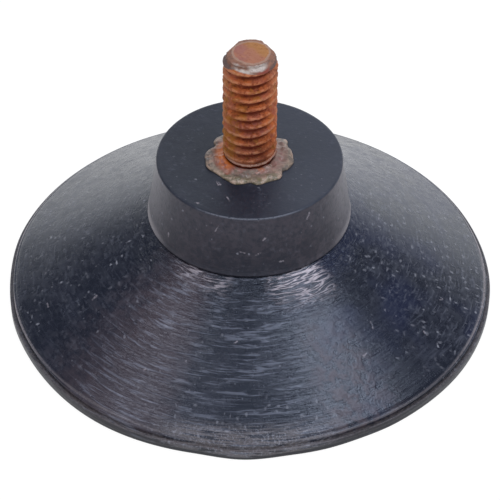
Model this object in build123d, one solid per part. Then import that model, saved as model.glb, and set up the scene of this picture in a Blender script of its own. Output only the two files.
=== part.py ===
from build123d import *
import os

# A suction cup foot: a moulded rubber cup with a thick collar, a hex-head screw whose head is
# moulded into the collar, and the ring of bonding adhesive that set round the screw where it
# comes out. Millimetres. +Z runs up along the screw, and the rim rests on z = 0.

# ---- cup, from its rim inwards ----
cup_radius = 29.5  # outside of the rim's lower band
land_width = 1.4  # flat ring of the rim that rests on the surface
rim_round = 0.3  # rounding between that ring and the rim's wall
band_height = 1.35  # lower band of the rim
step_width = 0.45  # the upper lip stands in from the band by this much
lip_height = 0.45  # upper lip, from the step to the cone
lip_round = 0.2  # rounding from the lip into the cone
neck_radius = 12.1  # where the cone meets the collar's side
neck_height = 12.0  # how high that corner is
neck_fillet = 0.5  # hollow fillet in that corner
dish_height = 8.8  # middle of the hollow underside, above the resting plane

# ---- collar ----
collar_radius = 11.0  # flat top; its side flares down to neck_radius
collar_rise = 8.1  # from the neck to the flat top
collar_round = 0.15  # rounding of the top's outer edge

# ---- screw ----
thread_radius = 3.175  # over the crests
shank_radius = 2.76  # plain shank under the thread
screw_reach = 15.55  # from the collar's top to the screw's tip
thread_gap = 0.15  # from the adhesive to the first thread
head_depth = 3.5  # from the collar's top down to the head's upper face
head_flats = 11.1  # across the hexagon's flats
head_height = 4.0
tip_radius = 2.05  # flat end face
tip_height = 0.8  # bevel round the end face
tip_offset = (0.35, 0.25)  # the end was ground by hand, so its face is off the axis

# ---- adhesive ring ----
ring_radius = 5.1
ring_rise = 0.55  # above the collar's top
ring_depth = 0.25  # the shallow recess in the collar that it fills
ring_slope = 0.5  # how far its outer side leans in

# ---- heights that follow ----
collar_top = neck_height + collar_rise
ring_top = collar_top + ring_rise
thread_start = ring_top + thread_gap
screw_top = collar_top + screw_reach
bevel_start = screw_top - tip_height
head_top = collar_top - head_depth


def turned(outline):
    """A solid of revolution from an outline of (radius, height) in the XZ plane."""
    return revolve(make_face(Plane.XZ * outline), Axis.Z)


def cylinder(radius, low, high):
    """An upright cylinder on the axis, from one height to another."""
    return Pos(0, 0, low) * Cylinder(radius, high - low, align=(Align.CENTER, Align.CENTER, Align.MIN))


def screw():
    """The screw in one piece: hexagon head, plain shank, threaded length and off-centre end."""
    hexagon = RegularPolygon(head_flats / 2, 6, major_radius=False)
    head = Pos(0, 0, head_top - head_height) * extrude(hexagon, head_height)
    shank = cylinder(shank_radius, head_top, thread_start)
    threaded = cylinder(thread_radius, thread_start, bevel_start)
    bevel_foot = Pos(0, 0, bevel_start) * Circle(thread_radius)
    end_face = Pos(*tip_offset, screw_top) * Circle(tip_radius)
    return head + shank + threaded + loft([bevel_foot, end_face], ruled=True)


def adhesive_ring():
    """The low ring round the shank, sunk a little into the collar's top."""
    outline = Polyline(
        (shank_radius, collar_top - ring_depth),
        (ring_radius, collar_top - ring_depth),
        (ring_radius, collar_top),
        (ring_radius - ring_slope, ring_top),
        (shank_radius, ring_top),
        close=True,
    )
    return turned(outline)


def rubber_body():
    """The whole moulding before the screw and the ring take their room in it."""
    dish_radius = cup_radius - rim_round - land_width
    sphere_radius = (dish_radius**2 + dish_height**2) / (2 * dish_height)
    lip_radius = cup_radius - step_width
    outside = FilletPolyline(
        (dish_radius, 0),
        (cup_radius, 0),
        (cup_radius, band_height),
        (lip_radius, band_height),
        (lip_radius, band_height + lip_height),
        (neck_radius, neck_height),
        (collar_radius, collar_top),
        (0, collar_top),
        (0, dish_height),
        radius=(rim_round, 0, 0, lip_round, neck_fillet, collar_round, 0),
    )
    dish = RadiusArc((0, dish_height), (dish_radius, 0), sphere_radius)
    return turned(outside + dish)


threaded_stud = screw()
adhesive_bead = adhesive_ring()
suction_cup = rubber_body() - threaded_stud - adhesive_bead

os.makedirs("parts", exist_ok=True)
export_step(suction_cup, "parts/suction_cup.step")
export_step(threaded_stud, "parts/threaded_stud.step")
export_step(adhesive_bead, "parts/adhesive_bead.step")
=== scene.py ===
import math
import random

import bpy
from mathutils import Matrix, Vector


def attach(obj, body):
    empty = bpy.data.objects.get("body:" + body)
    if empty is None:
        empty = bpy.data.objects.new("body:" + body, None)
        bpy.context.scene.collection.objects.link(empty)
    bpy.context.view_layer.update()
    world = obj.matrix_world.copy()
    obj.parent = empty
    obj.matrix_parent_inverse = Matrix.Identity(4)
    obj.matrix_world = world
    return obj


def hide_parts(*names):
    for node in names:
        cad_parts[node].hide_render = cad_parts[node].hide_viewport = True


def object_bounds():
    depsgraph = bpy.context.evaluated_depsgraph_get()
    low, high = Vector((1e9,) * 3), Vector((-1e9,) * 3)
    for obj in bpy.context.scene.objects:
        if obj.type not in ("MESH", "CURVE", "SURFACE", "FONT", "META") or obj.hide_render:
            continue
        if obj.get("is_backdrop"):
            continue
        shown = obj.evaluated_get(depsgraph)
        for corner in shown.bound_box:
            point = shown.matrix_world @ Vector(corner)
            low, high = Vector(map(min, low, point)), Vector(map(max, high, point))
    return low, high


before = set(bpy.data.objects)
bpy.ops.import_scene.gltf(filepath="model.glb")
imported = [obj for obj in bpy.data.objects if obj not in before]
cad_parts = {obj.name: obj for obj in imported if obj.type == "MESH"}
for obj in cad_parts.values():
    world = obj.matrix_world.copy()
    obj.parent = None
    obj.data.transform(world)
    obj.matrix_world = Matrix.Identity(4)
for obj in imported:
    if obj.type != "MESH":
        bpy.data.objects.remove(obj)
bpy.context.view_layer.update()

# ---------------------------------------------------------------------------------------------
# Threaded stud
# A steel hexagon-head screw, rusted orange and brown all over. Its head is buried in the
# collar, the plain shank comes out through it, and its end was ground by hand to a bevel that
# is off the axis. The thread was cut, and stops at a thin run-out ring above the shank.
# ---------------------------------------------------------------------------------------------
MM = 0.001

PITCH = 1.27
CREST_RADIUS = 3.175
ROOT_RADIUS = 2.5
CREST_FLAT = 0.24
ROOT_FLAT = 0.12
FRONT_CREST = 29.56  # height of one crest where it passes the front
THREAD_LOW = 21.2
RUN_OUT_RADIUS = 3.04
SHANK_RADIUS = 2.76
STUD_TOP = 35.65
END_RADIUS = 1.75
END_SHIFT = (0.12, 0.02)
SHOULDER_RADIUS = 2.55
PATCH_RADIUS = 2.0  # the tan patch spreads a little past the flat
PATCH_SHIFT = (0.1, -0.08)
SHOULDER_DROP = 0.13
BEVEL_RADIUS = 3.45
BEVEL_DROP = 1.4
BEVEL_TILTS = (("X", math.radians(8.0)), ("Y", math.radians(-5.0)))  # lower behind and right
FLATS = ((146, 2.2, 32), (36, 2.3, 28))  # bearing, distance from the axis at the top, slope
HEAD_TOP = 16.6
HEAD_HEIGHT = 4.0
HEAD_FLATS = 11.1
PACK_RADII = (2.94, 2.4)  # rust packed in the thread, left to right and front to back
THREAD_STEPS = 96
PACK_TOP = 30.5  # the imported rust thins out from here
PACK_END = (2.6, 33.2)
BLANK_LENGTH = 16
CRUST_GRAIN = 0.1
NEAR_AXIS = 0.05  # keeps the finishes from dividing by nothing on the axis


class Section:
    """A section drawn point by point in the XZ plane, in millimetres, and then turned about Z."""

    def __init__(self, name, radius, height):
        bpy.ops.object.select_all(action="DESELECT")
        bpy.ops.mesh.primitive_plane_add(size=MM)
        self.piece = bpy.context.object
        self.piece.name = name
        self.piece.data.name = name
        bpy.ops.object.mode_set(mode="EDIT")
        bpy.ops.mesh.select_mode(type="VERT")
        bpy.ops.mesh.select_all(action="SELECT")
        bpy.ops.mesh.merge(type="CENTER")
        bpy.ops.transform.translate(value=(radius * MM, 0, height * MM))
        self.end = (radius, height)

    def line(self, *corners):
        """Draws on from the last point, straight to each corner in turn."""
        for radius, height in corners:
            step = ((radius - self.end[0]) * MM, 0, (height - self.end[1]) * MM)
            bpy.ops.mesh.extrude_vertices_move(TRANSFORM_OT_translate={"value": step})
            self.end = (radius, height)

    def dome(self, radius, height, steps):
        """Draws on from the axis to a point of a sphere whose top is the last point."""
        drop = self.end[1] - height
        sphere = (radius**2 + drop**2) / (2 * drop)
        middle = (0, 0, (self.end[1] - sphere) * MM)
        bpy.ops.mesh.spin(
            steps=steps, angle=-math.asin(radius / sphere), center=middle, axis=(0, 1, 0)
        )
        self.end = (radius, height)

    def pick(self, *corners):
        """Selects the points that stand at these corners."""
        pick_points(
            self.piece,
            lambda co: any(math.dist((co.x, co.z), (r * MM, z * MM)) < 0.002 * MM for r, z in corners),
        )

    def round(self, corner, size, segments=3):
        """Rounds one corner off, starting this far from it on each side."""
        self.pick(corner)
        bpy.ops.mesh.bevel(
            offset_type="OFFSET", offset=size * MM, segments=segments, affect="VERTICES"
        )

    def divide(self, start, end, cuts):
        """Puts evenly spaced points on one straight side."""
        self.pick(start, end)
        bpy.ops.mesh.subdivide(number_cuts=cuts)

    def turn(self, steps):
        """Turns the section once round Z into a closed skin."""
        bpy.ops.mesh.select_all(action="SELECT")
        bpy.ops.mesh.spin(steps=steps, angle=2 * math.pi, center=(0, 0, 0), axis=(0, 0, 1))
        bpy.ops.mesh.select_all(action="SELECT")
        bpy.ops.mesh.remove_doubles(threshold=0.001 * MM)
        bpy.ops.mesh.normals_make_consistent(inside=False)
        bpy.ops.object.mode_set(mode="OBJECT")
        return self.piece


def pick_points(piece, wanted):
    """Selects the points of a piece whose place passes the test, and leaves it in edit mode."""
    bpy.ops.object.mode_set(mode="OBJECT")
    for kind in (piece.data.polygons, piece.data.edges, piece.data.vertices):
        kind.foreach_set("select", [False] * len(kind))
    for point in piece.data.vertices:
        point.select = wanted(point.co)
    bpy.ops.object.mode_set(mode="EDIT")
    bpy.ops.mesh.select_mode(type="VERT")


def take_up(piece):
    """Makes a piece the only selected one, and the active one."""
    bpy.ops.object.select_all(action="DESELECT")
    piece.select_set(True)
    bpy.context.view_layer.objects.active = piece


def modify(piece, kind, **settings):
    """Adds a modifier with these settings and applies it."""
    take_up(piece)
    bpy.ops.object.modifier_add(type=kind)
    modifier = piece.modifiers[-1]
    for name, value in settings.items():
        setattr(modifier, name, value)
    bpy.ops.object.modifier_apply(modifier=modifier.name)


def clouds(name, size, depth=1):
    """A soft three-dimensional noise for shaping a mesh; its size is in millimetres."""
    noise = bpy.data.textures.new(name, "CLOUDS")
    noise.noise_scale = size * MM
    noise.noise_depth = depth
    return noise


def join(keeper, other, operation):
    """Adds another closed piece to this one, or cuts it away, and throws the other away."""
    modify(keeper, "BOOLEAN", operation=operation, object=other, solver="EXACT")
    bpy.data.objects.remove(other)


# the thread: one pitch of its section, carried up the helix, then cut off square below
flank = (PITCH - CREST_FLAT - ROOT_FLAT) / 2
start_height = FRONT_CREST + PITCH / 4 - PITCH / 2 - 8 * PITCH
heights = [0, ROOT_FLAT / 2, ROOT_FLAT / 2 + flank]
heights += [PITCH - h for h in reversed(heights)]
radii = [ROOT_RADIUS, ROOT_RADIUS, CREST_RADIUS, CREST_RADIUS, ROOT_RADIUS, ROOT_RADIUS]
corners = [(r, start_height + h) for r, h in zip(radii, heights)]
thread = Section("threaded_stud_rusted", *corners[0])
thread.line(*corners[1:])
for corner in corners[2:4]:
    thread.round(corner, 0.1, 3)
for corner in (corners[1], corners[4]):
    thread.round(corner, 0.07, 2)
bpy.ops.object.mode_set(mode="OBJECT")
stud = thread.piece
modify(
    stud,
    "SCREW",
    axis="Z",
    screw_offset=PITCH * MM,
    iterations=math.ceil((STUD_TOP - start_height) / PITCH) + 1,
    steps=THREAD_STEPS,
    render_steps=THREAD_STEPS,
    use_merge_vertices=True,
    merge_threshold=0.001 * MM,
)
bpy.ops.object.mode_set(mode="EDIT")
bpy.ops.mesh.select_all(action="SELECT")
bpy.ops.mesh.remove_doubles(threshold=0.004 * MM)
for height, cut_side in ((STUD_TOP + 0.3, 1), (THREAD_LOW, -1)):
    bpy.ops.mesh.select_all(action="SELECT")
    bpy.ops.mesh.bisect(
        plane_co=(0, 0, height * MM),
        plane_no=(0, 0, cut_side),
        use_fill=True,
        clear_outer=True,
        threshold=0.0001 * MM,
    )
bpy.ops.mesh.select_all(action="SELECT")
bpy.ops.mesh.normals_make_consistent(inside=False)
bpy.ops.object.mode_set(mode="OBJECT")

# the end: a blank whose bevel is tilted and off the axis is what the grinding left
bpy.ops.object.select_all(action="DESELECT")
bpy.ops.mesh.primitive_circle_add(
    vertices=THREAD_STEPS,
    radius=END_RADIUS * MM,
    fill_type="NGON",
    location=(END_SHIFT[0] * MM, END_SHIFT[1] * MM, STUD_TOP * MM),
)
blank = bpy.context.object
bpy.ops.object.transform_apply(location=True)
bpy.ops.object.mode_set(mode="EDIT")
bpy.ops.mesh.select_all(action="SELECT")
bpy.ops.mesh.extrude_region_move(TRANSFORM_OT_translate={"value": (0, 0, -SHOULDER_DROP * MM)})
widen = SHOULDER_RADIUS / END_RADIUS
shoulder_middle = (END_SHIFT[0] * MM, END_SHIFT[1] * MM, (STUD_TOP - SHOULDER_DROP) * MM)
bpy.ops.transform.resize(value=(widen, widen, 1), center_override=shoulder_middle)
fall = (SHOULDER_DROP - BEVEL_DROP) * MM
bevel_step = (-END_SHIFT[0] * MM, -END_SHIFT[1] * MM, fall)
bpy.ops.mesh.extrude_region_move(TRANSFORM_OT_translate={"value": bevel_step})
bevel_middle = (0, 0, (STUD_TOP - BEVEL_DROP) * MM)
widen = BEVEL_RADIUS / SHOULDER_RADIUS
bpy.ops.transform.resize(value=(widen, widen, 1), center_override=bevel_middle)
for axis, tilt in BEVEL_TILTS:
    bpy.ops.transform.rotate(
        value=tilt, orient_axis=axis, orient_type="GLOBAL", center_override=bevel_middle
    )
bpy.ops.mesh.extrude_region_move(TRANSFORM_OT_translate={"value": (0, 0, -BLANK_LENGTH * MM)})
bpy.ops.mesh.select_all(action="SELECT")
bpy.ops.mesh.edge_face_add()
for bearing, distance, slope in FLATS:
    outward = Vector((math.cos(math.radians(bearing)), math.sin(math.radians(bearing)), 0))
    flat_faces = outward * math.cos(math.radians(slope))
    flat_faces.z = math.sin(math.radians(slope))
    bpy.ops.mesh.select_all(action="SELECT")
    bpy.ops.mesh.bisect(
        plane_co=outward * distance * MM + Vector((0, 0, STUD_TOP * MM)),
        plane_no=flat_faces,
        use_fill=True,
        clear_outer=True,
        threshold=0.0001 * MM,
    )
bpy.ops.mesh.select_all(action="SELECT")
bpy.ops.mesh.normals_make_consistent(inside=False)
bpy.ops.object.mode_set(mode="OBJECT")
join(stud, blank, "INTERSECT")

# the run-out ring and the top of the shank are rusted with the thread, as one crust
neck = Section("run_out", 0, THREAD_LOW - 1.6)
neck.line((SHANK_RADIUS + 0.04, THREAD_LOW - 1.6), (SHANK_RADIUS + 0.04, THREAD_LOW - 0.12))
neck.line((RUN_OUT_RADIUS, THREAD_LOW - 0.08), (RUN_OUT_RADIUS, THREAD_LOW + 0.22))
neck.line((ROOT_RADIUS, THREAD_LOW + 0.5), (0, THREAD_LOW + 0.5))
neck.round((RUN_OUT_RADIUS, THREAD_LOW + 0.22), 0.08)
join(stud, neck.turn(THREAD_STEPS), "UNION")
packing = Section("packed_rust", 0, THREAD_LOW)
packing.line((PACK_RADII[0], THREAD_LOW), (PACK_RADII[0], PACK_TOP), PACK_END, (0, PACK_END[1]))
packed = packing.turn(THREAD_STEPS)
bpy.ops.object.mode_set(mode="EDIT")
bpy.ops.mesh.select_all(action="SELECT")
flatten = (1, PACK_RADII[1] / PACK_RADII[0], 1)
bpy.ops.transform.resize(value=flatten, center_override=(0, 0, 0))
bpy.ops.object.mode_set(mode="OBJECT")
join(stud, packed, "UNION")
modify(stud, "REMESH", mode="VOXEL", voxel_size=CRUST_GRAIN * MM, adaptivity=0.0)
modify(stud, "DISPLACE", texture=clouds("rust_crust", 0.5, 2), strength=0.14 * MM, mid_level=0.5)
modify(stud, "DISPLACE", texture=clouds("rust_pits", 0.2, 1), strength=0.06 * MM, mid_level=0.5)

# the head and the shank, and a copy of them that shapes the pocket in the rubber
bpy.ops.object.select_all(action="DESELECT")
bpy.ops.mesh.primitive_cylinder_add(
    vertices=6,
    radius=HEAD_FLATS / 2 / math.cos(math.pi / 6) * MM,
    depth=HEAD_HEIGHT * MM,
    location=(0, 0, (HEAD_TOP - HEAD_HEIGHT / 2) * MM),
    rotation=(0, 0, math.pi / 6),
)
buried = bpy.context.object
buried.name = "head_and_shank"
bpy.ops.object.transform_apply(location=True, rotation=True)
shank = Section("shank", 0, HEAD_TOP - 0.5)
shank.line((SHANK_RADIUS, HEAD_TOP - 0.5), (SHANK_RADIUS, THREAD_LOW - 0.3))
shank.line((0, THREAD_LOW - 0.3))
join(buried, shank.turn(THREAD_STEPS), "UNION")
pocket = buried.copy()
pocket.data = buried.data.copy()
pocket.name = "pocket"
bpy.context.scene.collection.objects.link(pocket)
join(stud, buried, "UNION")
bpy.ops.object.shade_smooth_by_angle(angle=math.radians(50))


class Wire:
    """An output of a node in a finish. Maths on it adds Math nodes; node() adds any other."""

    def __init__(self, tree, socket=None):
        self.tree = tree
        self.socket = socket

    def node(self, kind, settings=None, inputs=None, output=0):
        """Adds a node: its settings are set first, then its sockets get numbers or wires."""
        made = self.tree.nodes.new(kind)
        for name, value in (settings or {}).items():
            setattr(made, name, value)
        for name, value in (inputs or {}).items():
            if isinstance(value, Wire):
                self.tree.links.new(value.socket, made.inputs[name])
            else:
                made.inputs[name].default_value = value
        return Wire(self.tree, made.outputs[output] if made.outputs else None)

    def maths(self, operation, *values):
        return self.node("ShaderNodeMath", {"operation": operation}, dict(enumerate(values)))

    def __add__(self, other):
        return self.maths("ADD", self, other)

    def __sub__(self, other):
        return self.maths("SUBTRACT", self, other)

    def __rsub__(self, other):
        return self.maths("SUBTRACT", other, self)

    def __mul__(self, other):
        return self.maths("MULTIPLY", self, other)

    def __truediv__(self, other):
        return self.maths("DIVIDE", self, other)

    def __pow__(self, other):
        return self.maths("POWER", self, other)

    def __abs__(self):
        return self.maths("ABSOLUTE", self)

    __radd__ = __add__
    __rmul__ = __mul__

    def either(self, other):
        """The larger of two masks."""
        return self.maths("MAXIMUM", self, other)

    def between(self, low, high):
        """0 below low, 1 above high and a smooth rise between; low may be above high."""
        limits = {"Value": self, "From Min": low, "From Max": high}
        return self.node("ShaderNodeMapRange", {"interpolation_type": "SMOOTHSTEP"}, limits)

    def vector(self, operation, *values):
        """A Vector Math node on vectors."""
        return self.node("ShaderNodeVectorMath", {"operation": operation}, dict(enumerate(values)))

    def tint(self, factor, colour):
        """This colour turned into another one by a factor from 0 to 1."""
        sockets = {"Factor": factor, 6: self, 7: colour}
        return self.node("ShaderNodeMix", {"data_type": "RGBA"}, sockets, output=2)

    def noise(self, place, scale, detail=2.0, roughness=0.5, distortion=0.0):
        """Soft noise; scale is in features for each unit of place."""
        sockets = {"Vector": place, "Scale": scale, "Detail": detail}
        sockets.update({"Roughness": roughness, "Distortion": distortion})
        return self.node("ShaderNodeTexNoise", None, sockets)

    def cells(self, place, scale, randomness=1.0, output="Distance"):
        """Distance to the nearest of many scattered points, or that point's own colour."""
        sockets = {"Vector": place, "Scale": scale, "Randomness": randomness}
        return self.node("ShaderNodeTexVoronoi", None, sockets, output=output)


def new_finish(name):
    """An empty material and the wire that its nodes are added from."""
    finish = bpy.data.materials.new(name)
    finish.use_nodes = True
    finish.node_tree.nodes.clear()
    return finish, Wire(finish.node_tree)


def colour(red, green, blue):
    """A colour as a screen shows it, each part 0 to 255, turned into light, with alpha 1."""
    parts = [c / 255 for c in (red, green, blue)]
    light = [c / 12.92 if c <= 0.04045 else ((c + 0.055) / 1.055) ** 2.4 for c in parts]
    return (*light, 1.0)


def places(bare):
    """Where a point of a piece is: its place, x, y, z and distance from Z, in millimetres."""
    place = bare.node("ShaderNodeTexCoord", output="Object")
    scale = {"operation": "SCALE"}
    place_mm = bare.node("ShaderNodeVectorMath", scale, {0: place, "Scale": 1 / MM})
    x = bare.node("ShaderNodeSeparateXYZ", None, {0: place_mm}, output="X")
    y = bare.node("ShaderNodeSeparateXYZ", None, {0: place_mm}, output="Y")
    z = bare.node("ShaderNodeSeparateXYZ", None, {0: place_mm}, output="Z")
    return place_mm, x, y, z, ((x * x + y * y) ** 0.5).either(NEAR_AXIS)


RUST_BROWN = colour(122, 58, 32)
RUST_ORANGE = colour(180, 94, 48)
DEEP_RUST_AND_SHADE = colour(100, 30, 6)
RUST_PINK = colour(160, 90, 72)
RUST_OLIVE = colour(138, 88, 20)
PALE_RUST_AND_HIGHLIGHT = colour(196, 146, 112)
RUST_GOLD = colour(160, 102, 34)
RUST_LIT_SIDE = colour(194, 104, 46)
RUST_PLUM = colour(126, 66, 66)
BASE_BROWN = colour(74, 38, 20)
GROUND_STEEL_GLINT = colour(196, 190, 184)
BEVEL_BROWN = colour(138, 104, 88)
BEVEL_DARK = colour(84, 76, 76)
BEVEL_RED = colour(140, 66, 52)
END_TAN = colour(166, 112, 88)
END_YELLOW = colour(170, 122, 58)
END_MAUVE = colour(150, 98, 92)
END_LINE = colour(178, 148, 130)
RUN_OUT_GREY = colour(182, 150, 136)

rust, bare = new_finish("rusted_steel")
place_mm, x, y, z, radius = places(bare)
side = x / radius  # -1 on the left, 1 on the right

# noises, and masks that say where on the stud a look belongs
patches = bare.noise(place_mm, 0.45, 3.0, 0.6)
blotches = bare.noise(place_mm, 1.3, 3.0, 0.6)
stains = bare.noise(place_mm, 0.8, 2.0, 0.5, 0.6)
spots = bare.noise(place_mm, 2.6, 3.0, 0.6, 0.5)
grain = bare.noise(place_mm, 7.0, 3.0, 0.65)
front = (0 - y / radius).between(0.35, 0.85)
low = z.between(27.5, 22.5)
left_low = side.between(-0.3, -0.75) * z.between(31, 25)
groove = radius.between(ROOT_RADIUS + 0.36, ROOT_RADIUS + 0.08)
crest = radius.between(2.98, 3.12)
shade_under_run_out = z.between(THREAD_LOW - 0.02, THREAD_LOW - 0.1)
run_out = z.between(THREAD_LOW + 0.32, THREAD_LOW + 0.2)
run_out = run_out * radius.between(SHANK_RADIUS + 0.08, SHANK_RADIUS + 0.18)

# the end is a flat inside a pale line; the ground bevel round it shows bare steel in places, painted
# near white at the front as a highlight
from_middle = ((x - PATCH_SHIFT[0]) ** 2.0 + (y - PATCH_SHIFT[1]) ** 2.0) ** 0.5
from_middle = from_middle + 0.3 * (blotches - 0.5) + 0.5 * (patches - 0.5)
fall_back = 0.11 * y + 0.065 * x  # how much lower the bevel lies towards the back and right
fall_back = fall_back + 0.4 * side.between(-0.6, -0.95)  # and it comes down again on the left
near_end = (z + fall_back).between(STUD_TOP - 1.24, STUD_TOP - 1.1)
bevel = near_end * radius.between(1.7, 1.9)
end_face = near_end * from_middle.between(PATCH_RADIUS + 0.06, PATCH_RADIUS - 0.06)
end_line = near_end * from_middle.between(PATCH_RADIUS - 0.1, PATCH_RADIUS + 0.02)
end_line = end_line * from_middle.between(PATCH_RADIUS + 0.32, PATCH_RADIUS + 0.12)
rubbed = x.between(-0.6, 0.3) * x.between(2.2, 1.5) * from_middle.between(2.25, 2.45)
rubbed = rubbed * from_middle.between(2.95, 2.65)
low_rub = x.between(0.6, -0.4) * x.between(-2.3, -1.4) * from_middle.between(2.5, 2.75)
bare_steel_and_glint = bevel * front * rubbed.either(low_rub) * (0.6 + 0.4 * spots.between(0.3, 0.6))
bevel_foot = bevel * from_middle.between(2.7, 2.95)

tone = bare.node("ShaderNodeRGB")
tone.socket.default_value = RUST_BROWN
tone = tone.tint(blotches.between(0.34, 0.6), RUST_ORANGE)
tone = tone.tint(side.between(0.05, 0.6) * patches.between(0.3, 0.6) * 0.35, RUST_ORANGE)
tone = tone.tint((1 - front) * side.between(0.3, -0.9) * stains.between(0.4, 0.6) * 0.5, RUST_OLIVE)
tone = tone.tint(stains.between(0.52, 0.64) * 0.6, RUST_GOLD)
tone = tone.tint(left_low * stains.between(0.25, 0.5) * 0.85, RUST_GOLD)
tone = tone.tint(patches.between(0.47, 0.62) * 0.55, RUST_PINK)
tone = tone.tint(low * front * spots.between(0.55, 0.68) * 0.6, RUST_PLUM)
plum_belt = front * z.between(25.0, 26.0) * z.between(28.4, 27.4) * spots.between(0.4, 0.58)
tone = tone.tint(plum_belt * 0.55, RUST_PLUM)
# painted light: the right side of the thread is brighter orange where the light falls on it
lit_right_side = side.between(0.25, 0.55) * z.between(23.0, 24.5) * z.between(29.0, 27.5)
tone = tone.tint(lit_right_side * patches.between(0.62, 0.4) * 0.6, RUST_LIT_SIDE)
gold_spot = side.between(-0.6, -0.4) * side.between(-0.05, -0.2) * z.between(27.3, 28.2)
tone = tone.tint(gold_spot * z.between(31.0, 30.0) * front * 0.5, RUST_GOLD)
tone = tone.tint(low * 0.2, BASE_BROWN)
tone = tone.tint(low * front * side.between(-0.3, 0.2) * 0.35, BASE_BROWN)
# painted highlight: the upper thread is paler towards its sides and back
tone = tone.tint(z.between(28, 31.5) * (1 - front) * 0.22, PALE_RUST_AND_HIGHLIGHT)
tone = tone.tint(spots.between(0.42, 0.34) * 0.5, DEEP_RUST_AND_SHADE)
# crests paler: partly worn rust, partly a painted highlight
tone = tone.tint(crest * blotches.between(0.4, 0.62) * 0.4, PALE_RUST_AND_HIGHLIGHT)
tone = tone.tint(grain.between(0.6, 0.75) * (1 - groove) * 0.3, PALE_RUST_AND_HIGHLIGHT)
# painted shade in the grooves, strongest at the front where the crests shade them
tone = tone.tint(groove * (0.1 + 0.8 * front * side.between(-0.7, -0.2)), DEEP_RUST_AND_SHADE)
tone = tone.tint(bevel * 0.85, BEVEL_BROWN)
tone = tone.tint(bevel * bevel_foot * (0.3 + 0.5 * abs(side)), BEVEL_DARK)
tone = tone.tint(bevel * spots.between(0.5, 0.36) * 0.4, BEVEL_DARK)
tone = tone.tint(bevel_foot * front * x.between(0.5, 1.1) * x.between(2.4, 2.0) * 0.85, BEVEL_RED)
# bare steel, painted near white at the front as highlights
tone = tone.tint(bare_steel_and_glint * 0.85, GROUND_STEEL_GLINT)
tone = tone.tint(end_face, END_TAN)
tone = tone.tint(end_face * x.between(0.3, -0.9) * stains.between(0.35, 0.6) * 0.7, END_MAUVE)
tone = tone.tint(end_face * (x + y + stains * 2).between(1.1, 2.4) * 0.6, END_YELLOW)
tone = tone.tint(end_face * spots.between(0.42, 0.34) * 0.4, RUST_BROWN)
tone = tone.tint(end_line * (0.35 + 0.5 * grain), END_LINE)
tone = tone.tint(run_out * grain.between(0.3, 0.5) * 0.8, RUN_OUT_GREY)
# painted shadow on the shank just under the run-out ring
tone = tone.tint(shade_under_run_out * 0.9, DEEP_RUST_AND_SHADE)
height = blotches * 0.12 + grain * 0.06 + spots * 0.06
relief = bare.node("ShaderNodeBump", None, {"Height": height, "Distance": MM, "Strength": 1.0})
metal = bare_steel_and_glint * 0.3
gloss = 0.75 - 0.15 * grain - 0.3 * bare_steel_and_glint
skin = bare.node(
    "ShaderNodeBsdfPrincipled",
    None,
    {
        "Base Color": tone,
        "Roughness": gloss,
        "Metallic": metal,
        "Normal": relief,
        "Specular IOR Level": 0.25,
    },
)
bare.node("ShaderNodeOutputMaterial", None, {"Surface": skin})
stud.data.materials.clear()
stud.data.materials.append(rust)
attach(stud, "root")
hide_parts("threaded_stud")

# ---------------------------------------------------------------------------------------------
# Rubber cup
# One moulding in black rubber: a thin skirt, hollow underneath, flares out from a thick collar.
# The rim carries a band, a lip that stands in from it and one fine groove. The head of the
# stud was moulded into the collar, so the collar keeps a pocket of the head's own shape.
# ---------------------------------------------------------------------------------------------
RIM_RADIUS = 29.5
BAND_TOP = 1.35
LIP_RADIUS = 29.05
LIP_TOP = 1.8
DISH_RADIUS = 27.8
DISH_HEIGHT = 8.8
NECK_RADIUS = 12.1
NECK_HEIGHT = 12.0
COLLAR_RADIUS = 11.0
COLLAR_TOP = 20.1
RECESS_RADIUS = 4.3
RECESS_DEPTH = 0.25
CUP_STEPS = 384
SCUFF_REACH = 0.75  # how far a scuff runs, round the cup and down it

slope_length = math.dist((LIP_RADIUS, LIP_TOP), (NECK_RADIUS, NECK_HEIGHT))
slope_in = (LIP_RADIUS - NECK_RADIUS) / slope_length
slope_up = (NECK_HEIGHT - LIP_TOP) / slope_length


def on_skirt(distance, depth=0.0):
    """A point of the skirt's upper face, this far in from the lip and this deep below it."""
    radius = LIP_RADIUS - distance * slope_in - depth * slope_up
    return radius, LIP_TOP + distance * slope_up - depth * slope_in


rim_groove = [on_skirt(0.2), on_skirt(0.33, 0.06), on_skirt(0.48)]
crease = (NECK_RADIUS - 0.08, NECK_HEIGHT + 0.06)
foot_edge = (NECK_RADIUS + 0.12, NECK_HEIGHT + 0.22)
collar_foot = (NECK_RADIUS - 0.02, NECK_HEIGHT + 0.55)
skirt_head = on_skirt(slope_length - 0.25)

outline = Section("rubber_cup", 0, DISH_HEIGHT)
outline.dome(DISH_RADIUS, 0, 40)
outline.line((RIM_RADIUS, 0), (RIM_RADIUS, BAND_TOP), (LIP_RADIUS - 0.02, BAND_TOP - 0.03))
outline.line((LIP_RADIUS, LIP_TOP), *rim_groove, skirt_head, crease, foot_edge, collar_foot)
outline.line((COLLAR_RADIUS, COLLAR_TOP), (RECESS_RADIUS, COLLAR_TOP))
outline.line((RECESS_RADIUS, COLLAR_TOP - RECESS_DEPTH), (0, COLLAR_TOP - RECESS_DEPTH))
outline.divide(rim_groove[2], skirt_head, 60)
outline.divide(collar_foot, (COLLAR_RADIUS, COLLAR_TOP), 24)
outline.divide((COLLAR_RADIUS, COLLAR_TOP), (RECESS_RADIUS, COLLAR_TOP), 16)
outline.round((RIM_RADIUS, 0), 0.3)
outline.round((RIM_RADIUS, BAND_TOP), 0.12)
outline.round((LIP_RADIUS, LIP_TOP), 0.12)
outline.round(rim_groove[1], 0.05)
outline.round(foot_edge, 0.1)
outline.round((COLLAR_RADIUS, COLLAR_TOP), 0.14)
cup = outline.turn(CUP_STEPS)
join(cup, pocket, "DIFFERENCE")
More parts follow.
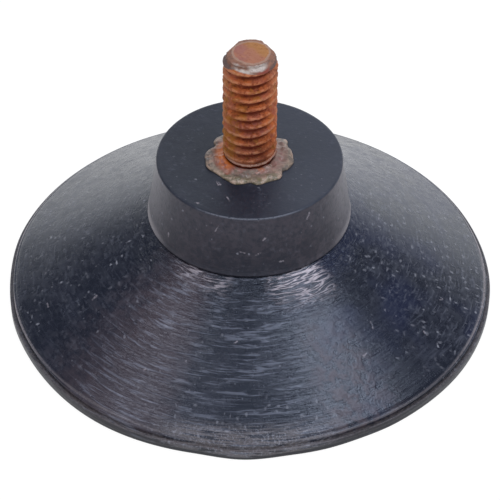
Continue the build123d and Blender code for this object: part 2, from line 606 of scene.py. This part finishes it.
# the cut leaves needles with no area where the flat faces round the pocket meet
bpy.ops.object.mode_set(mode="EDIT")
bpy.ops.mesh.select_all(action="SELECT")
bpy.ops.mesh.dissolve_degenerate(threshold=0.001 * MM)
bpy.ops.object.mode_set(mode="OBJECT")


def pull(piece, bearing, distance, level, outward, upward, reach):
    """Drags the skin near one place outward and upward, and what is within reach goes along."""
    angle = math.radians(bearing)
    centre = (distance * math.cos(angle) * MM, distance * math.sin(angle) * MM, level * MM)
    nearest = min(piece.data.vertices, key=lambda point: math.dist(point.co, centre)).index
    home = piece.data.vertices[nearest].co.copy()
    pick_points(piece, lambda co: co == home)
    move = (outward * math.cos(angle) * MM, outward * math.sin(angle) * MM, upward * MM)
    bpy.ops.transform.translate(
        value=move,
        use_proportional_edit=True,
        proportional_edit_falloff="SMOOTH",
        proportional_size=reach * MM,
    )
    bpy.ops.object.mode_set(mode="OBJECT")


take_up(cup)
# the soft rim has taken a set and is not quite round: bearing, outward pull, reach
for bearing, outward, reach in (
    (355, 0.17, 12),
    (332, 0.17, 12),
    (235, 0.34, 16),
    (269, 0.36, 6),
    (182, -0.18, 9),
    (296, -0.1, 5),
):
    pull(cup, bearing, RIM_RADIUS, 0.6, outward, 0, reach)
bpy.ops.object.shade_smooth_by_angle(angle=math.radians(32))

RUBBER_BLACK = colour(17, 20, 32)
RUBBER_GREY = colour(40, 42, 54)
RUBBER_BROWN = colour(36, 27, 35)
RUBBER_PINK_AND_SHEEN = colour(70, 58, 62)
RUBBER_BLUE = colour(24, 30, 58)
BLOOM_AND_SHEEN_GREY = colour(116, 112, 118)
EDGE_GREY = colour(104, 98, 98)
BAND_BROWN = colour(38, 33, 32)
DUST_AND_SHEEN_GREY = colour(146, 148, 158)
STREAK_DUST_AND_HIGHLIGHT = colour(132, 138, 154)
SCUFF_GREY = colour(84, 88, 100)
HAZE_GREY = colour(62, 66, 78)
WALL_GREY = colour(72, 64, 70)
LIP_DUST_AND_HIGHLIGHT = colour(138, 132, 134)
GLINT_GREY = colour(186, 178, 186)

rubber, bare = new_finish("black_rubber_weathered")
place_mm, x, y, z, radius = places(bare)
along = radius - 0.6 * z  # falls steadily from the rim, up the skirt and collar, to the stud
side = x / radius  # -1 on the left, 1 on the right
facing = 0 - y / radius  # 1 at the front, -1 at the back


def ringed(turns, spacing, shift=0.0):
    """Coordinates for marks that run round the axis: features per radian, and millimetres apart."""
    parts = {"X": side * turns + shift, "Y": y / radius * turns, "Z": along / spacing}
    return bare.node("ShaderNodeCombineXYZ", None, parts)


def scatter(scale, size, share, stretch):
    """Flecks at random places: cells per millimetre, fleck size, share of cells that have one."""
    spot = place_mm.vector("MULTIPLY", place_mm, stretch)
    nudge = (bare.noise(spot, 5.0, 1.0) - 0.5) * size * 1.5
    distance = bare.cells(spot, scale) / scale + nudge
    draw = bare.node("ShaderNodeSeparateColor", None, {0: bare.cells(spot, scale, output="Color")})
    return distance.between(size, size * 0.3) * draw.between(1 - share, 1 - share * 0.4)


def mark(start, end, width):
    """One straight scuff between two places, each given as bearing, distance from Z and level."""
    tips = []
    for bearing, distance, level in (start, end):
        angle = math.radians(bearing)
        tips.append(Vector((distance * math.cos(angle), distance * math.sin(angle), level)))
    reach = tips[1] - tips[0]
    offset = place_mm.vector("SUBTRACT", place_mm, tips[0])
    dot = {"operation": "DOT_PRODUCT"}
    share = bare.node("ShaderNodeVectorMath", dot, {0: offset, 1: reach}, output="Value")
    share = bare.maths("MINIMUM", (share / reach.length_squared).either(0.0), 1.0)
    scale = {"operation": "SCALE"}
    nearest = bare.node("ShaderNodeVectorMath", scale, {0: reach, "Scale": share})
    measure = {"operation": "DISTANCE"}
    away = bare.node("ShaderNodeVectorMath", measure, {0: offset, 1: nearest}, output="Value")
    return (away + (flecking - 0.5) * width * 2).between(width, width * 0.2)


# noises: the ringed ones make the creases and streaks that run round the cup
mottle = bare.noise(place_mm, 0.35, 4.0, 0.6)
clouding = bare.noise(place_mm, 0.12, 2.0, 0.5)
grit = bare.noise(place_mm, 4.0, 3.0, 0.65)
wrinkles = bare.noise(ringed(6.5, 0.4), 1.0, 3.0, 0.6, 0.5)
ripples = bare.noise(ringed(9.0, 0.2, 7.0), 1.0, 2.0, 0.6)
crinkles = abs(bare.noise(ringed(7.0, 0.46, 3.0), 1.0, 2.0, 0.6, 0.3) - 0.5).between(0.01, 0.12)
creases = abs(bare.noise(ringed(5.0, 0.5, 5.0), 1.0, 1.5, 0.55, 0.4) - 0.5).between(0.075, 0.015)
flecking = bare.noise(place_mm, 1.9, 2.0, 0.55)
strokes = bare.noise(ringed(16.0, 0.36, 11.0), 1.0, 2.0, 0.6, 0.4).between(0.53, 0.68)
haze = bare.noise(place_mm, 0.9, 4.0, 0.65)
clumps = bare.noise(place_mm, 0.5, 2.0, 0.6).between(0.44, 0.62)

# masks that say where on the cup a look belongs
on_top = z.between(COLLAR_TOP - 0.25, COLLAR_TOP - 0.05)
on_side = z.between(NECK_HEIGHT + 0.1, NECK_HEIGHT + 0.35) * (1 - on_top)
skirt_level = LIP_TOP + (LIP_RADIUS - radius) * (slope_up / slope_in)
upper_face = (z - skirt_level).between(-0.9, -0.6)  # 0 in the hollow underneath
on_slope = z.between(NECK_HEIGHT + 0.1, NECK_HEIGHT - 0.1) * upper_face
near_neck = radius.between(18, 12.8) * on_slope * (0.25 + 0.75 * facing.between(0.3, 0.6))
front_fan = facing.between(0.5, 0.78) * side.between(-0.85, -0.6)
left_edge = (side + haze * 0.5).between(-0.68, -0.3)
left_fan = facing.between(0.4, 0.6) * (side + haze * 0.2).between(-0.13, -0.35) * left_edge
right_fan = facing.between(0.4, 0.6) * side.between(0.25, 0.42) * side.between(0.68, 0.52)
middle = facing.between(0.8, 0.95) * abs(side).between(0.42, 0.15)
# the outer right fan: smoother, and given a painted sheen below
smooth_fan_and_sheen = right_fan * radius.between(15.0, 21.0) * on_slope  # no streaks on the outer right
two_fans = facing.between(0.4, 0.6) * abs(side).between(0.12, 0.26) * abs(side).between(0.72, 0.58)
flanks = facing.between(0.75, 0.45) * on_slope
ends = abs(side).between(0.78, 1.02)
rim_edge = radius.between(LIP_RADIUS - 0.3, LIP_RADIUS - 0.1)
rim_edge = rim_edge * radius.between(LIP_RADIUS + 0.07, LIP_RADIUS - 0.03)
rim_edge = rim_edge * z.between(LIP_TOP - 0.2, LIP_TOP - 0.05)
band = z.between(BAND_TOP + 0.11, BAND_TOP + 0.03)
band = band * radius.between(LIP_RADIUS - 0.15, LIP_RADIUS - 0.05)
ledge = band * z.between(BAND_TOP - 0.1, BAND_TOP - 0.02)
band_edge = radius.between(RIM_RADIUS - 0.2, RIM_RADIUS - 0.08)
band_edge = band_edge * z.between(BAND_TOP - 0.2, BAND_TOP - 0.07)
top_edge_highlight = radius.between(COLLAR_RADIUS - 0.16, COLLAR_RADIUS - 0.08)
top_edge_highlight = top_edge_highlight * z.between(COLLAR_TOP - 0.16, COLLAR_TOP - 0.1)
foot_reflection = z.between(NECK_HEIGHT + 0.1, NECK_HEIGHT + 0.22)
foot_reflection = foot_reflection * z.between(NECK_HEIGHT + 1.5, NECK_HEIGHT + 0.5)
foot_reflection = foot_reflection * radius.between(NECK_RADIUS - 0.35, NECK_RADIUS - 0.15)
front_dust = facing.between(0.9, 0.99) * radius.between(26.4, 28.4) * upper_face
front_grains = facing.between(0.86, 0.98) * radius.between(22.5, 27.0) * on_slope

specks = scatter(0.8, 0.22, 0.3, (1, 1, 1)).either(scatter(1.5, 0.14, 0.2, (1.1, 1.2, 0.9)) * 0.6)
lint = scatter(0.7, 0.18, 0.22, (0.4, 1, 0.8)).either(scatter(0.7, 0.18, 0.22, (1, 0.45, 0.8)))
specks = specks.either(lint) * clouding.between(0.25, 0.45)
chaff = scatter(1.25, 0.2, 0.75, (0.45, 1, 0.8)).either(scatter(1.25, 0.2, 0.75, (1, 0.5, 0.8)))
scuffs = flecking.between(0.52, 0.72) * clumps


def collar_face(run):
    """A point of the collar's top, this far in from its edge."""
    return COLLAR_RADIUS - run, COLLAR_TOP


def collar_wall(run):
    """A point of the collar's side, this far below its top edge."""
    share = run / (COLLAR_TOP - NECK_HEIGHT)
    return COLLAR_RADIUS + share * (NECK_RADIUS - COLLAR_RADIUS), COLLAR_TOP - run


# longer scuffs from handling: surface, how many, and the bearings and runs they lie between
chance = random.Random(8)
marks = None
for surface, count, bearings, runs in (
    (collar_face, 4, (215, 300), (0.8, 5.0)),
    (collar_wall, 7, (210, 320), (0.8, 6.5)),
    (on_skirt, 10, (185, 345), (3.0, 16.0)),
):
    for _ in range(count):
        bearing = chance.uniform(*bearings)
        run = chance.uniform(*runs)
        around = chance.uniform(-SCUFF_REACH, SCUFF_REACH)
        down = chance.uniform(-SCUFF_REACH, SCUFF_REACH)
        start = (bearing, *surface(run))
        end = (bearing + math.degrees(around / start[1]), *surface(run + down))
        scuff = mark(start, end, chance.uniform(0.12, 0.2))
        marks = scuff if marks is None else marks.either(scuff)
streaks = wrinkles.between(0.5, 0.66)

tone = bare.node("ShaderNodeRGB")
tone.socket.default_value = RUBBER_BLACK
tone = tone.tint(mottle.between(0.4, 0.75) * 0.5, RUBBER_GREY)
# painted highlight tint in the left and right fans, where the softboxes reflect
tone = tone.tint(left_fan * (0.4 + 0.4 * clouding) * on_slope, RUBBER_PINK_AND_SHEEN)
tone = tone.tint(smooth_fan_and_sheen * haze.between(0.4, 0.6) * 0.8, RUBBER_PINK_AND_SHEEN)
off_neck = radius.between(13.2, 17.0)
tone = tone.tint(flanks * off_neck * haze.between(0.3, 0.8) * (0.22 + 0.16 * side), HAZE_GREY)
tone = tone.tint(side.between(0.0, 0.7) * clouding.between(0.6, 0.4) * on_slope * 0.6, RUBBER_BLUE)
tone = tone.tint(on_side * (0.5 + 0.5 * mottle), RUBBER_BROWN)
tone = tone.tint(on_side * mottle.between(0.45, 0.75) * 0.07, BLOOM_AND_SHEEN_GREY)
tone = tone.tint(on_side * z.between(14.5, 18.5) * 0.1, BLOOM_AND_SHEEN_GREY)
# painted sheen: the collar side is lighter at its left and right ends, where it mirrors the white
# floor
tone = tone.tint(on_side * ends * (0.52 + 0.05 * side), BLOOM_AND_SHEEN_GREY)
tone = tone.tint(on_side * haze.between(0.42, 0.62) * (0.26 + 0.2 * side.between(0.1, 0.6)), WALL_GREY)
# painted shade: the lower front of the collar side is darker
tone = tone.tint(on_side * z.between(17.0, 13.0) * facing.between(0.8, 1.0) * 0.45, RUBBER_BLACK)
tone = tone.tint(on_side * ripples.between(0.5, 0.68) * 0.2, RUBBER_PINK_AND_SHEEN)
tone = tone.tint(on_side.either(on_top) * flecking.between(0.5, 0.34) * 0.5, RUBBER_BLACK)
tone = tone.tint(band * (0.5 + 0.5 * mottle), BAND_BROWN)
tone = tone.tint(ledge * grit.between(0.35, 0.6) * 0.4, EDGE_GREY)
# light streaks: partly dust in the wrinkles, partly painted highlight, strongest in the lit fans
streak_share = 0.03 + 0.2 * front_fan * side.between(0.5, 0.1) + 0.15 * middle + 0.12 * left_fan
tone = tone.tint(streaks * on_slope * streak_share * (1 - 0.8 * smooth_fan_and_sheen), STREAK_DUST_AND_HIGHLIGHT)
# painted shade in the wrinkle troughs between the streaks in the middle
tone = tone.tint(wrinkles.between(0.47, 0.36) * middle * on_slope * 0.4, RUBBER_BLACK)
tone = tone.tint(scuffs * flanks * 0.4, SCUFF_GREY)
tone = tone.tint(strokes * flanks * (0.16 + 0.3 * side.between(0.3, 0.7)), SCUFF_GREY)
chaff_share = 0.2 + 0.22 * side.between(0.2, 0.7)
tone = tone.tint(chaff * flanks * clouding.between(0.3, 0.5) * chaff_share, DUST_AND_SHEEN_GREY)
tone = tone.tint(on_top * x.between(-7, 9) * (0.25 + 0.4 * haze), HAZE_GREY)
tone = tone.tint(scuffs * on_top.either(on_side) * 0.3, SCUFF_GREY)
# lip edge lighter: partly dust, partly a painted highlight that is strongest at the ends
tone = tone.tint(rim_edge * grit.between(0.25, 0.5) * (0.3 + 0.6 * ends), LIP_DUST_AND_HIGHLIGHT)
tone = tone.tint(band_edge * grit.between(0.3, 0.55) * 0.3, EDGE_GREY)
from_neck = radius + 3 * haze - 2 * side  # the crinkles reach further down on the right
glints = creases * near_neck * from_neck.between(17.2, 14.8) * two_fans
neck_sheen = near_neck * from_neck.between(18.0, 15.0)
neck_sheen = neck_sheen * side.between(0.2, 0.36) * side.between(0.7, 0.5)
tone = tone.tint(neck_sheen * 0.22, DUST_AND_SHEEN_GREY)
tone = tone.tint(glints * (0.52 + 0.48 * side.between(0.0, 0.4)), GLINT_GREY)
# painted reflection on the collar's foot at its left and right ends
tone = tone.tint(foot_reflection * ends * (0.75 - 0.15 * side), LIP_DUST_AND_HIGHLIGHT)
# painted highlight on the front of the collar's top edge
tone = tone.tint(top_edge_highlight * facing.between(0.8, 0.95) * grit.between(0.3, 0.5) * 0.3, DUST_AND_SHEEN_GREY)
tone = tone.tint(front_dust * ripples.between(0.4, 0.56) * 0.75, EDGE_GREY)
tone = tone.tint(front_dust * grit.between(0.5, 0.66) * 0.5, DUST_AND_SHEEN_GREY)
tone = tone.tint(front_grains * chaff * 0.45, DUST_AND_SHEEN_GREY)
tone = tone.tint(specks * (0.32 + 0.3 * flanks + 0.15 * on_side), DUST_AND_SHEEN_GREY)
tone = tone.tint(marks * grit.between(0.35, 0.6) * 0.42, GLINT_GREY)

middle_left = front_fan * side.between(0.5, 0.05)  # the creases are deepest here
height = wrinkles * (0.006 + 0.05 * front_fan + 0.085 * middle_left + 0.06 * left_fan)
height = height + ripples * (0.008 + 0.02 * front_fan)
height = height * on_slope * (1 - 0.65 * smooth_fan_and_sheen) + haze * 0.12 * smooth_fan_and_sheen
height = height + crinkles * 0.04 * near_neck + creases * 0.03 * near_neck
height = height + scuffs * 0.008 + specks * 0.02 + (strokes + chaff) * 0.012 * flanks
height = height + haze * 0.03 * flanks - marks * 0.015
height = height + grit * 0.012 + mottle * 0.08 * on_side + haze * 0.03 * on_side.either(on_top)
relief = bare.node("ShaderNodeBump", None, {"Height": height, "Distance": MM, "Strength": 1.0})
gloss = 0.25 + 0.12 * (mottle - 0.5) + 0.17 * on_side + 0.13 * on_top + 0.15 * band
gloss = gloss + 0.35 * right_fan * (haze - 0.4) + 0.2 * specks + 0.1 * scuffs
gloss = gloss + 0.12 * flanks.either(on_top) * haze.between(0.4, 0.7)
skin = bare.node(
    "ShaderNodeBsdfPrincipled",
    None,
    {
        "Base Color": tone,
        "Roughness": gloss,
        "Normal": relief,
        "IOR": 1.54,
        "Specular Tint": (0.74, 0.84, 1.0, 1.0),
        "Sheen Weight": 0.03,
        "Sheen Roughness": 0.45,
        "Sheen Tint": (0.85, 0.9, 1.0, 1.0),
    },
)
bare.node("ShaderNodeOutputMaterial", None, {"Surface": skin})
cup.data.materials.append(rubber)
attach(cup, "root")
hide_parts("suction_cup")

# ---------------------------------------------------------------------------------------------
# Adhesive ring
# Bonding adhesive that was squeezed out round the shank and set in an uneven puddle on the
# collar. It is beige and pinkish, with lobes, a hollow on the left and rust run into it.
# ---------------------------------------------------------------------------------------------
RING_RADIUS = 5.05
RING_BORE = 2.7
RING_FIT = 4.2  # a hair inside the recess
RING_FLOOR = 19.86  # a hair above the bottom of the recess
RING_SEAT = 20.07  # a hair below the top of the collar
RING_STEPS = 180
RING_SIDE = 20.2  # height at which the outline is pulled
RING_FACE = 20.55  # and the top
ring_edge = (RING_RADIUS, 20.36)
ring_shoulder = (4.6, 20.54)
ring_rise = (3.9, 20.64)
ring_crown = (3.15, 20.9)

puddle = Section("adhesive_ring", RING_BORE, RING_FLOOR)
puddle.line((RING_FIT, RING_FLOOR), (RING_FIT, RING_SEAT), (RING_RADIUS, RING_SEAT))
puddle.line(ring_edge, ring_shoulder, ring_rise, ring_crown)
puddle.line((RING_BORE, ring_crown[1]), (RING_BORE, RING_FLOOR))
puddle.divide(ring_shoulder, ring_rise, 5)
puddle.divide(ring_rise, ring_crown, 7)
puddle.round(ring_edge, 0.22, 4)
puddle.divide((RING_FIT, RING_SEAT), (RING_RADIUS, RING_SEAT), 4)
ring = puddle.turn(RING_STEPS)
take_up(ring)
# lobes and notches of the outline: bearing, outward pull, reach
for bearing, outward, reach in (
    (20, -0.15, 1.2),
    (34, 0.3, 1.0),
    (50, -0.4, 1.2),
    (85, 0.2, 1.6),
    (108, -0.3, 1.2),
    (140, 0.15, 1.2),
    (158, -0.6, 1.0),
    (180, 0.25, 1.3),
    (200, 0.4, 1.5),
    (222, -0.1, 1.0),
    (249, 0.25, 1.3),
    (270, -0.45, 0.8),
    (284, 0.15, 1.0),
    (312, 0.25, 1.0),
    (327, -0.4, 0.8),
    (350, 0.2, 1.6),
):
    pull(ring, bearing, RING_RADIUS, RING_SIDE, outward, 0, reach)
# swellings, ridges and hollows of the top: bearing, distance, upward pull, reach
for bearing, distance, upward, reach in (
    (195, 4.6, 0.3, 1.4),
    (5, 4.5, 0.25, 1.6),
    (187, 4.8, -0.5, 0.55),
    (170, 4.2, 0.25, 0.5),
    (192, 4.05, 0.35, 0.5),
    (206, 4.9, 0.3, 0.5),
    (200, 3.4, 0.5, 0.8),
    (216, 3.9, 0.3, 0.45),
    (232, 4.3, -0.25, 0.5),
    (238, 3.75, 0.25, 0.4),
    (250, 4.6, 0.2, 0.5),
    (256, 3.9, 0.2, 0.4),
    (268, 4.2, -0.2, 0.5),
    (322, 3.2, -0.5, 0.6),
    (300, 4.5, 0.18, 0.5),
    (345, 3.9, -0.2, 0.5),
    (12, 4.1, 0.3, 0.6),
    (28, 4.3, 0.35, 0.6),
    (60, 3.9, 0.3, 0.9),
    (125, 4.0, 0.35, 0.9),
):
    pull(ring, bearing, distance, RING_FACE, 0, upward, reach)
modify(ring, "SMOOTH", factor=0.5, iterations=4)
modify(ring, "DISPLACE", texture=clouds("adhesive_lumps", 0.9, 1), strength=0.14 * MM, mid_level=0.5)
modify(ring, "DISPLACE", texture=clouds("adhesive_skin", 0.3, 1), strength=0.03 * MM, mid_level=0.5)
bpy.ops.object.shade_smooth()

ADHESIVE_BEIGE = colour(118, 104, 92)
ADHESIVE_GREY = colour(94, 86, 82)
ADHESIVE_PINK = colour(144, 104, 98)
ADHESIVE_ROSE = colour(146, 116, 106)
CREAM_AND_HIGHLIGHT = colour(186, 164, 144)
ADHESIVE_OLIVE = colour(104, 98, 62)
STAIN_ORANGE = colour(188, 102, 38)
STAIN_RED = colour(150, 78, 72)
ADHESIVE_DARK = colour(44, 38, 34)

adhesive, bare = new_finish("set_adhesive")
place_mm, x, y, z, radius = places(bare)
side = x / radius
facing = 0 - y / radius
patches = bare.noise(place_mm, 0.7, 3.0, 0.6)
blotches = bare.noise(place_mm, 1.5, 2.0, 0.55, 0.3)
ridges = abs(bare.noise(place_mm, 0.6, 1.5, 0.5, 0.4) - 0.5).between(0.06, 0.0)
grain = bare.noise(place_mm, 6.0, 3.0, 0.6)
near_stud = radius.between(4.3, 3.1)
left_stain = side.between(-0.45, -0.6) * radius.between(4.7, 4.2) * facing.between(0.1, 0.35)
outer = radius.between(4.2, 4.9)
tone = bare.node("ShaderNodeRGB")
tone.socket.default_value = ADHESIVE_BEIGE
tone = tone.tint(patches.between(0.42, 0.62), ADHESIVE_GREY)
tone = tone.tint(blotches.between(0.5, 0.66) * abs(side).between(0.1, 0.6) * 0.6, ADHESIVE_PINK)
tone = tone.tint(side.between(0.2, 0.7) * radius.between(4.7, 4.2) * 0.6, ADHESIVE_ROSE)
front_rim = facing.between(0.4, 0.9) * radius.between(3.9, 4.6)
tone = tone.tint(front_rim * blotches.between(0.62, 0.42) * 0.55, ADHESIVE_OLIVE)
tone = tone.tint(radius.between(4.3, 3.7) * blotches.between(0.4, 0.6) * 0.6, ADHESIVE_PINK)
# cream ridges and lumps: partly lighter adhesive, partly painted highlight, stronger on the sides
tone = tone.tint(ridges * (0.06 + 0.16 * abs(side).between(0.3, 0.8)), CREAM_AND_HIGHLIGHT)
tone = tone.tint(outer * blotches.between(0.42, 0.62) * 0.6, CREAM_AND_HIGHLIGHT)
tone = tone.tint(grain.between(0.42, 0.32) * 0.12, ADHESIVE_DARK)
# darker along the ring's foot, where it meets the collar
tone = tone.tint(z.between(RING_SEAT + 0.23, RING_SEAT + 0.05) * 0.6, ADHESIVE_DARK)
tone = tone.tint(left_stain * patches.between(0.62, 0.4) * 0.5, STAIN_RED)
left_rust = radius.between(4.6, 3.5) * side.between(-0.45, -0.8) * blotches.between(0.72, 0.45)
tone = tone.tint(left_rust * 0.95, STAIN_ORANGE)
tone = tone.tint(near_stud * patches.between(0.54, 0.64) * 0.4, STAIN_ORANGE)
height = blotches * 0.08 + grain * 0.02 + ridges * 0.015
relief = bare.node("ShaderNodeBump", None, {"Height": height, "Distance": MM, "Strength": 1.0})
gloss = 0.42 - 0.2 * grain
skin = bare.node(
    "ShaderNodeBsdfPrincipled",
    None,
    {"Base Color": tone, "Roughness": gloss, "Normal": relief, "Specular IOR Level": 0.5},
)
bare.node("ShaderNodeOutputMaterial", None, {"Surface": skin})
ring.data.materials.append(adhesive)
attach(ring, "root")
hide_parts("adhesive_bead")

# ---------------------------------------------------------------------------------------------
# Floor, lights and camera
# The object stands on plain white paper. Two softboxes hang overhead, left and right, with a
# dim gap between them, in a pale room; the camera looks down from in front.
# ---------------------------------------------------------------------------------------------
FLOOR_SIZE = 1.6
FLOOR_LEVEL = -0.02  # a hair below the rim

bpy.ops.object.select_all(action="DESELECT")
bpy.ops.mesh.primitive_plane_add(size=FLOOR_SIZE, location=(0, 0, FLOOR_LEVEL * MM))
floor = bpy.context.object
floor.name = "floor"
paper, bare = new_finish("white_paper")
path = bare.node("ShaderNodeLightPath", output="Is Camera Ray")
glossy = bare.node("ShaderNodeLightPath", output="Is Glossy Ray")
through = bare.node("ShaderNodeLightPath", output="Is Transmission Ray")
# the paper glows where it is seen or mirrored, and its matt share takes the shadow
matt = bare.node("ShaderNodeBsdfDiffuse", None, {"Color": (0.85, 0.85, 0.85, 1)})
floor_place = bare.node("ShaderNodeTexCoord", output="Object")
floor_back = bare.node("ShaderNodeSeparateXYZ", None, {0: floor_place}, output="Y")
lit_from_behind = 0.6 + 0.75 * floor_back.between(-0.05, 0.04)
bright = path * 1.09 + (1 - path) * lit_from_behind
glow = bare.node("ShaderNodeEmission", None, {"Color": (1, 1, 1, 1), "Strength": bright})
seen = path.either(glossy).either(through)
shown = bare.node("ShaderNodeMixShader", None, {0: seen * 0.85, 1: matt, 2: glow})
bare.node("ShaderNodeOutputMaterial", None, {"Surface": shown})
floor.data.materials.append(paper)
floor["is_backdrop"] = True

world = bpy.data.worlds.new("studio")
world.use_nodes = True
world.node_tree.nodes.clear()
bpy.context.scene.world = world
room = Wire(world.node_tree)
direction = room.node("ShaderNodeTexCoord", output="Generated")
right = room.node("ShaderNodeSeparateXYZ", None, {0: direction}, output="X")
back = room.node("ShaderNodeSeparateXYZ", None, {0: direction}, output="Y")
up = room.node("ShaderNodeSeparateXYZ", None, {0: direction}, output="Z")
ceiling = 0.18 + 0.27 * up.between(0.78, 0.93)
sweep = back.between(0.58, 0.72) * up.between(0.82, 0.7) * right.between(-0.7, -0.45)
horizon = up.between(0.36, 0.1) * (0.45 + 0.55 * right.between(-0.75, -0.3))
fill = back.between(-0.3, -0.65)
sweep = sweep * (0.72 + 0.13 * right.between(-0.5, -0.1)) * right.between(0.9, 0.55)
white = sweep + 0.7 * horizon + 0.5 * fill
cool = {"Color": (0.86, 0.94, 1.14, 1), "Strength": ceiling}
plain = {"Color": (1, 1, 1, 1), "Strength": white}
cool_sky = room.node("ShaderNodeBackground", None, cool)
white_sky = room.node("ShaderNodeBackground", None, plain)
sky = room.node("ShaderNodeAddShader", None, {0: cool_sky, 1: white_sky})
room.node("ShaderNodeOutputWorld", None, {"Surface": sky})


def softbox(name, direction, distance, size, power, tint):
    """A square area lamp in this direction from the middle of the object, facing it."""
    lamp = bpy.data.lights.new(name, "AREA")
    lamp.shape = "RECTANGLE"
    lamp.size, lamp.size_y = size
    lamp.energy = power
    lamp.color = tint
    holder = bpy.data.objects.new(name, lamp)
    bpy.context.scene.collection.objects.link(holder)
    holder.location = [c * distance for c in direction]
    holder.rotation_euler = Vector(direction).to_track_quat("Z", "Y").to_euler()


LAMP_DISTANCE = 0.6
WARM_WHITE = (1.05, 0.98, 0.98)
COOL_WHITE = (0.97, 0.98, 1.04)
softbox("softbox_left", (-0.46, -0.15, 0.88), LAMP_DISTANCE, (0.28, 0.28), 0.84, WARM_WHITE)
softbox("softbox_right", (0.41, -0.13, 0.9), LAMP_DISTANCE, (0.29, 0.29), 1.35, COOL_WHITE)

FOCAL_LENGTH = 164.7
SENSOR_WIDTH = 36
LOOK_AT = (0.13, 0, 5.35)
CAMERA_DISTANCE = 279.3
CAMERA_ELEVATION = math.radians(42.3)
CAMERA_ROLL = math.radians(0.45)
bpy.ops.object.camera_add()
camera = bpy.context.object
camera.name = "camera"
camera.data.lens = FOCAL_LENGTH
camera.data.sensor_width = SENSOR_WIDTH
camera.data.clip_start = 0.01
camera.location = (
    LOOK_AT[0] * MM,
    (LOOK_AT[1] - CAMERA_DISTANCE * math.cos(CAMERA_ELEVATION)) * MM,
    (LOOK_AT[2] + CAMERA_DISTANCE * math.sin(CAMERA_ELEVATION)) * MM,
)
camera.rotation_euler = (math.pi / 2 - CAMERA_ELEVATION, 0, 0)
camera.rotation_euler.rotate_axis("Z", CAMERA_ROLL)
bpy.context.scene.camera = camera
bpy.context.scene.view_settings.view_transform = "Standard"

low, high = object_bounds()
